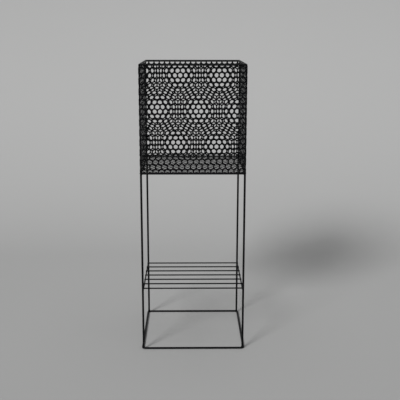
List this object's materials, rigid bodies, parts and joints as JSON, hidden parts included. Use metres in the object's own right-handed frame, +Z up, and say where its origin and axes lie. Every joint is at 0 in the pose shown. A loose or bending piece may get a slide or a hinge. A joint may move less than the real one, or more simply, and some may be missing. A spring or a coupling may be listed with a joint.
{
  "type": "raised metal planter",
  "caption": "Square perforated steel planter box raised on a slim welded rod stand with a slatted rod shelf and a square base ring.",
  "frame": {"origin": "middle of the footprint, on the ground under the base ring", "axes": "+Z up through the middle of the box, +X to the right seen from the front, -Y towards the front"},
  "size_m": [0.3052, 0.3052, 0.837],
  "materials": {
    "frame_rod": "satin black paint on round steel rod",
    "box_rod": "satin black paint on round steel rod",
    "shelf_rod": "satin black paint on thin round steel rod",
    "perforated_sheet": "satin black paint on punched steel sheet"
  },
  "bodies": {
    "root": {"back_panel": "perforated_sheet", "base_ring": "frame_rod", "corner_rod_back_left": "box_rod", "corner_rod_back_right": "box_rod", "corner_rod_front_left": "box_rod", "corner_rod_front_right": "box_rod", "floor_panel": "perforated_sheet", "front_panel": "perforated_sheet", "left_panel": "perforated_sheet", "leg_back_left": "frame_rod", "leg_back_right": "frame_rod", "leg_front_left": "frame_rod", "leg_front_right": "frame_rod", "right_panel": "perforated_sheet", "rim_rod_back": "box_rod", "rim_rod_front": "box_rod", "rim_rod_left": "box_rod", "rim_rod_right": "box_rod", "shelf_rod_1": "shelf_rod", "shelf_rod_2": "shelf_rod", "shelf_rod_3": "shelf_rod", "shelf_rod_4": "shelf_rod", "shelf_rod_5": "shelf_rod", "shelf_rod_6": "shelf_rod", "shelf_rod_7": "shelf_rod", "shelf_side_rod_left": "shelf_rod", "shelf_side_rod_right": "shelf_rod", "support_rail_back": "frame_rod", "support_rail_front": "frame_rod", "support_rail_left": "frame_rod", "support_rail_right": "frame_rod"}
  },
  "joints": []
}
